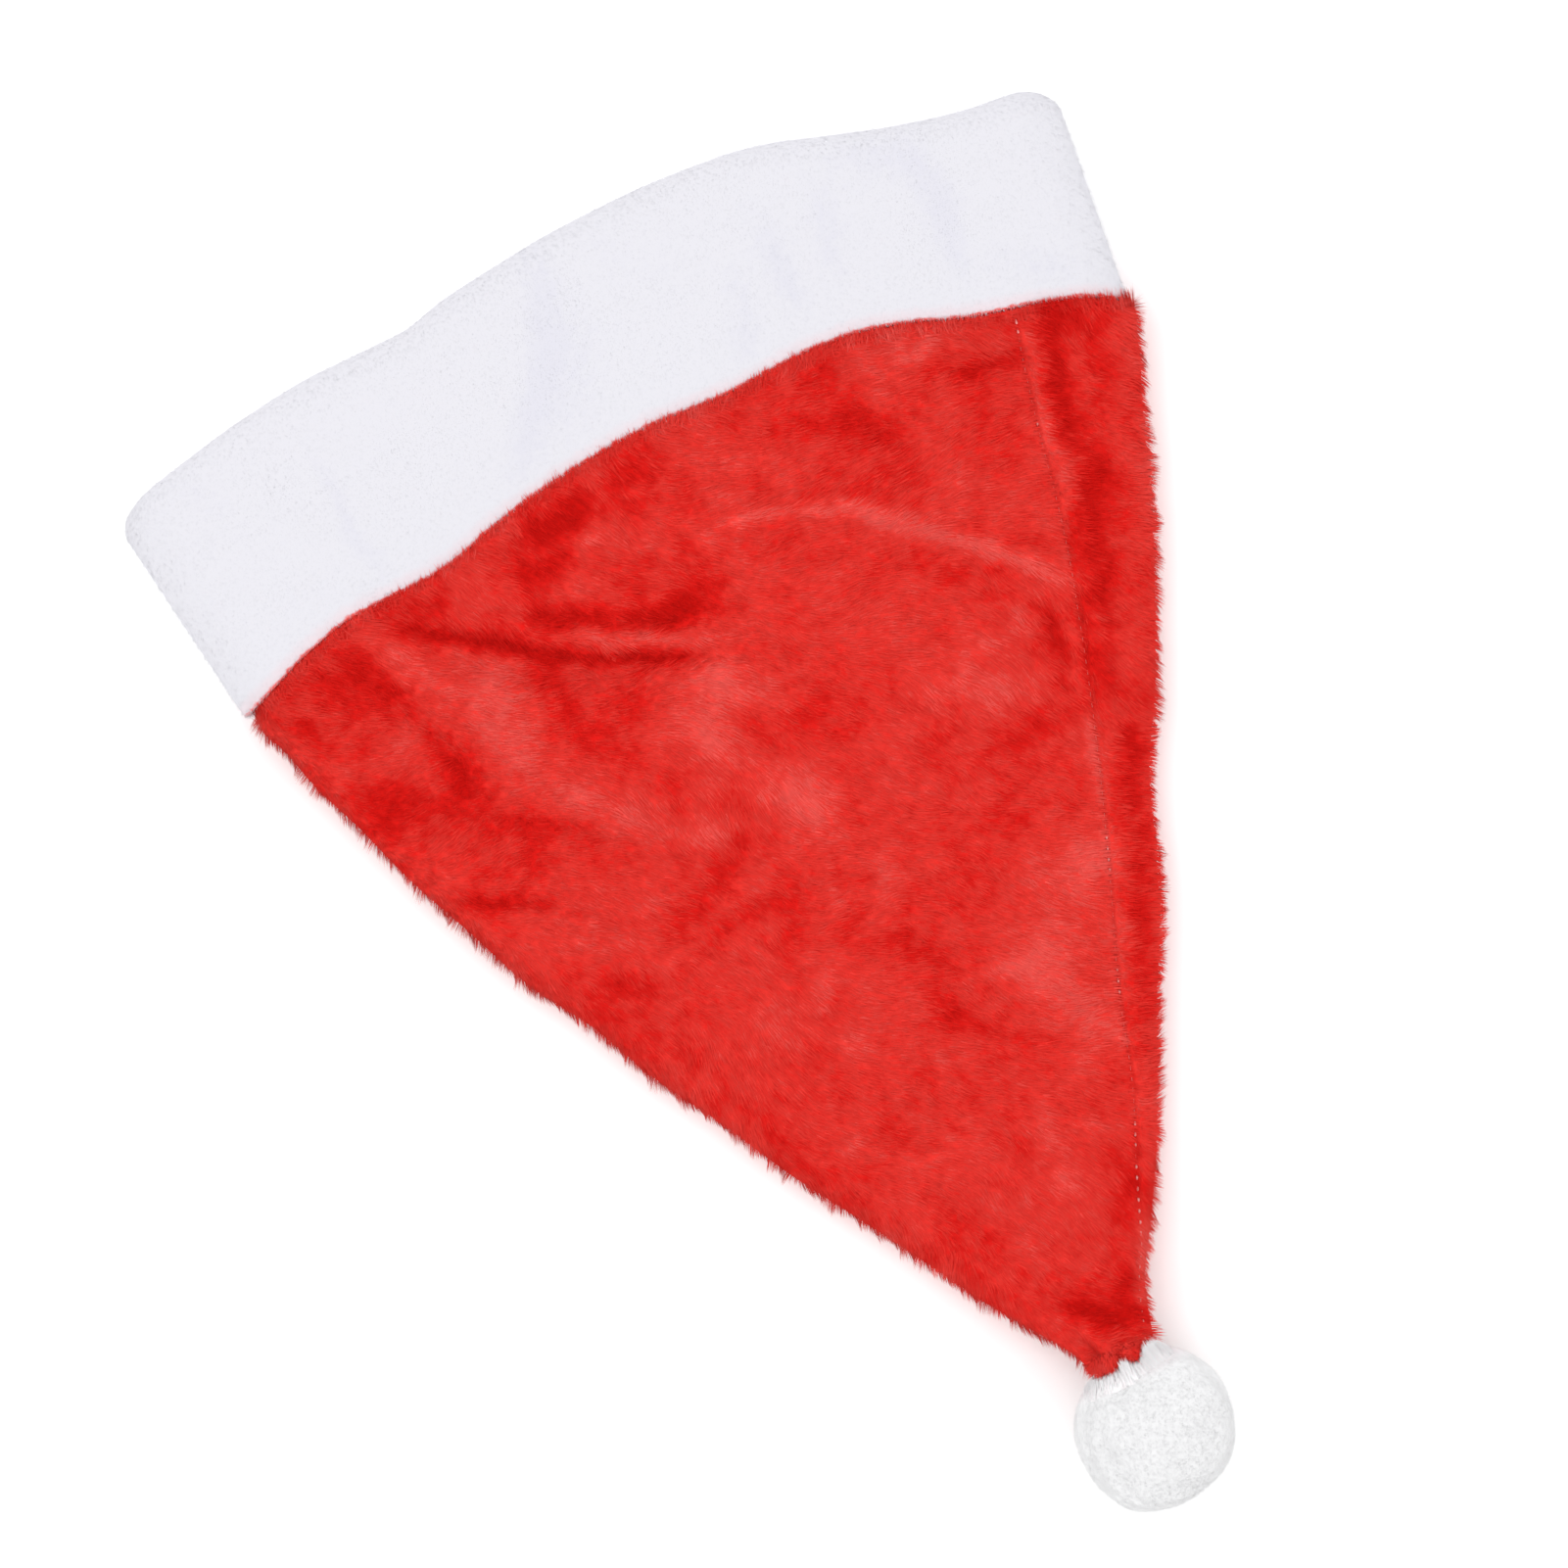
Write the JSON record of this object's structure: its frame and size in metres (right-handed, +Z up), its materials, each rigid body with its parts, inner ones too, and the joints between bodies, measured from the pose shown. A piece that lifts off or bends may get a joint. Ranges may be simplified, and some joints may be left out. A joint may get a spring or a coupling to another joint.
{
  "type": "santa hat",
  "caption": "Plush cone hat lying flat: a wide white band is folded round its open mouth, a soft ball is sewn to its tip, and it is worn on an adult's head.",
  "frame": {"origin": "under the middle of the lying hat's box, at the height of the surface that it lies on", "axes": "+Y along the hat from the pompom out of the mouth, +Z up off the surface, +X across the mouth to the side with the seam"},
  "size_m": [0.2878, 0.3971, 0.0447],
  "materials": {
    "red_plush": "short soft pile",
    "white_plush": "short soft pile"
  },
  "bodies": {
    "root": {"crown": "red_plush", "brim": "white_plush", "pompom": "white_plush"}
  },
  "joints": []
}
